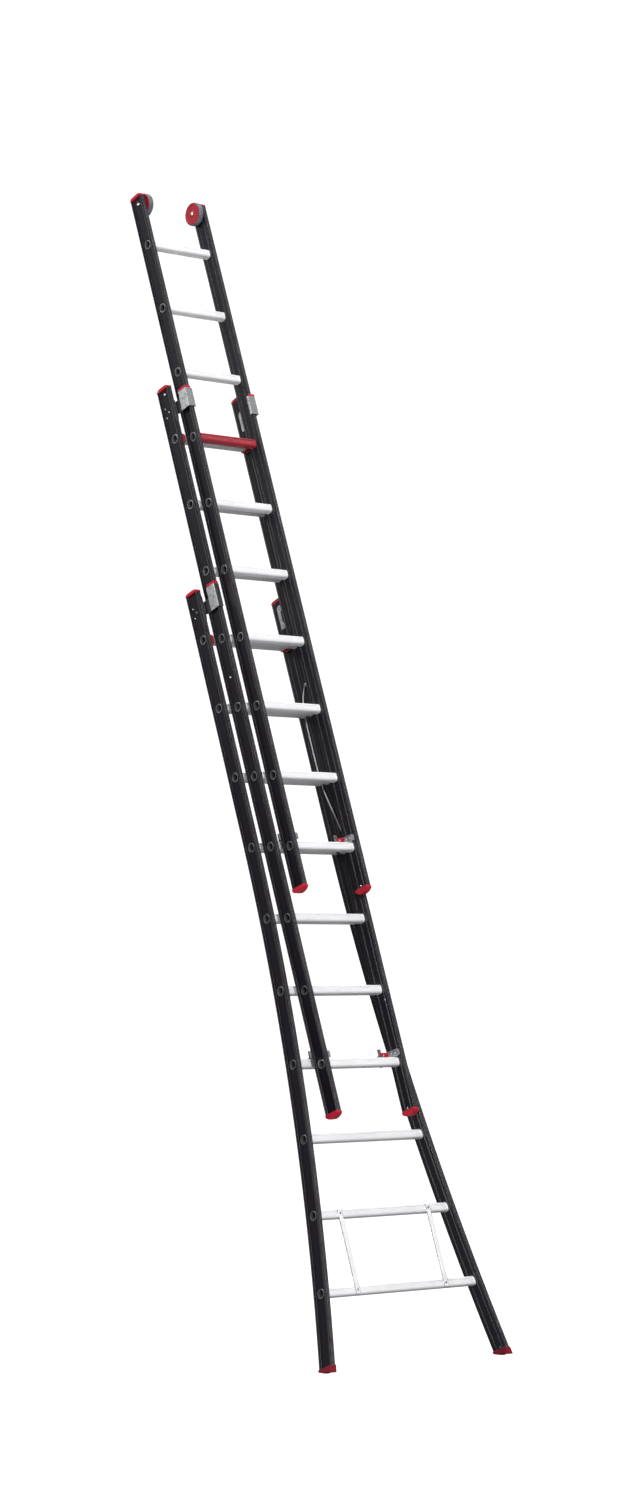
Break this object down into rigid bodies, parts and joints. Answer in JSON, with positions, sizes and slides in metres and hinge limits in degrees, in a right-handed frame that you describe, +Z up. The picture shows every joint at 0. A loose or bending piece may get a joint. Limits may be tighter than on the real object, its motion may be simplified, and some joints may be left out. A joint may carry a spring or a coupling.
{
  "type": "three-section extension ladder",
  "caption": "Three-section extension ladder leaning at use angle, with flared feet, guide brackets, rung hooks with red pawls and rollers at the top.",
  "frame": {"origin": "on the ground, under the centre of the leaning ladder's bounding box", "axes": "+Z up; +X across the ladder, to a climber's right; +Y from the climber towards the wall that the ladder leans on"},
  "size_m": [0.8652, 1.5512, 4.4228],
  "materials": {
    "coated_aluminium": "charcoal coated, satin, ribbed extrusion",
    "bright_aluminium": "bright satin extrusion with fine grooves",
    "red_enamel": "red enamel on aluminium",
    "red_plastic": "moulded red plastic, satin",
    "galvanised_steel": "zinc-plated sheet",
    "grey_rubber": "soft grey tread",
    "grey_webbing": "braided cord"
  },
  "bodies": {
    "bottom_section": {"bottom_stile_left": "coated_aluminium", "bottom_stile_right": "coated_aluminium", "bottom_rung_1": "bright_aluminium", "bottom_rung_2": "bright_aluminium", "bottom_rung_3": "bright_aluminium", "bottom_rung_4": "bright_aluminium", "bottom_rung_5": "bright_aluminium", "bottom_rung_6": "bright_aluminium", "bottom_rung_7": "bright_aluminium", "bottom_rung_8": "bright_aluminium", "bottom_rung_9": "bright_aluminium", "bottom_rung_10": "bright_aluminium", "foot_left": "red_plastic", "brace_left": "bright_aluminium", "bottom_guide_left": "galvanised_steel", "foot_right": "red_plastic", "brace_right": "bright_aluminium", "bottom_guide_right": "galvanised_steel"},
    "middle_section": {"middle_stile_left": "coated_aluminium", "middle_stile_right": "coated_aluminium", "middle_rung_1": "bright_aluminium", "middle_rung_2": "bright_aluminium", "middle_rung_3": "bright_aluminium", "middle_rung_4": "bright_aluminium", "middle_rung_5": "bright_aluminium", "middle_rung_6": "bright_aluminium", "middle_rung_7": "bright_aluminium", "middle_rung_8": "bright_aluminium", "middle_rung_9": "bright_aluminium", "middle_rung_10": "bright_aluminium", "middle_end_cap_left": "red_plastic", "middle_guide_left": "galvanised_steel", "middle_hook_left": "galvanised_steel", "middle_end_cap_right": "red_plastic", "middle_guide_right": "galvanised_steel", "middle_hook_right": "galvanised_steel", "strap": "grey_webbing"},
    "fly_section": {"fly_stile_left": "coated_aluminium", "fly_stile_right": "coated_aluminium", "fly_rung_1": "bright_aluminium", "fly_rung_2": "bright_aluminium", "fly_rung_3": "bright_aluminium", "fly_rung_4": "red_enamel", "fly_rung_5": "bright_aluminium", "fly_rung_6": "bright_aluminium", "fly_rung_7": "bright_aluminium", "fly_rung_8": "bright_aluminium", "fly_rung_9": "bright_aluminium", "fly_rung_10": "bright_aluminium", "fly_end_cap_left": "red_plastic", "fly_hook_left": "galvanised_steel", "fly_end_cap_right": "red_plastic", "fly_hook_right": "galvanised_steel"},
    "middle_pawl_left": {"middle_pawl_left": "red_plastic"},
    "fly_pawl_left": {"fly_pawl_left": "red_plastic"},
    "wheel_left": {"wheel_left": "grey_rubber"},
    "middle_pawl_right": {"middle_pawl_right": "red_plastic"},
    "fly_pawl_right": {"fly_pawl_right": "red_plastic"},
    "wheel_right": {"wheel_right": "grey_rubber"}
  },
  "joints": [
    {"name": "middle_slide", "type": "slide", "parent": "bottom_section", "child": "middle_section", "axis": [0, 0.3478, 0.9376], "range_m": [-0.84, 0.84]},
    {"name": "fly_slide", "type": "slide", "parent": "middle_section", "child": "fly_section", "axis": [0, 0.3478, 0.9376], "range_m": [-0.84, 0.84]},
    {"name": "fly_pawl_left_turn", "type": "hinge", "parent": "fly_section", "child": "fly_pawl_left", "pos_m": [-0.1255, -0.16897, 1.86839], "axis": [-1, 0, 0], "range_deg": [0, 20], "stiffness_Nm_per_rad": 0.2, "springref_deg": -17.19},
    {"name": "fly_pawl_right_turn", "type": "hinge", "parent": "fly_section", "child": "fly_pawl_right", "pos_m": [0.1255, -0.16897, 1.86839], "axis": [-1, 0, 0], "range_deg": [0, 20], "stiffness_Nm_per_rad": 0.2, "springref_deg": -17.19},
    {"name": "middle_pawl_left_turn", "type": "hinge", "parent": "middle_section", "child": "middle_pawl_left", "pos_m": [-0.1565, -0.38284, 1.07608], "axis": [-1, 0, 0], "range_deg": [0, 20], "stiffness_Nm_per_rad": 0.2, "springref_deg": -17.19},
    {"name": "middle_pawl_right_turn", "type": "hinge", "parent": "middle_section", "child": "middle_pawl_right", "pos_m": [0.1565, -0.38284, 1.07608], "axis": [-1, 0, 0], "range_deg": [0, 20], "stiffness_Nm_per_rad": 0.2, "springref_deg": -17.19},
    {"name": "wheel_left_spin", "type": "hinge", "parent": "fly_section", "child": "wheel_left", "pos_m": [-0.124, 0.72933, 4.37655], "axis": [1, 0, 0], "continuous": true},
    {"name": "wheel_right_spin", "type": "hinge", "parent": "fly_section", "child": "wheel_right", "pos_m": [0.124, 0.72933, 4.37655], "axis": [1, 0, 0], "continuous": true}
  ]
}
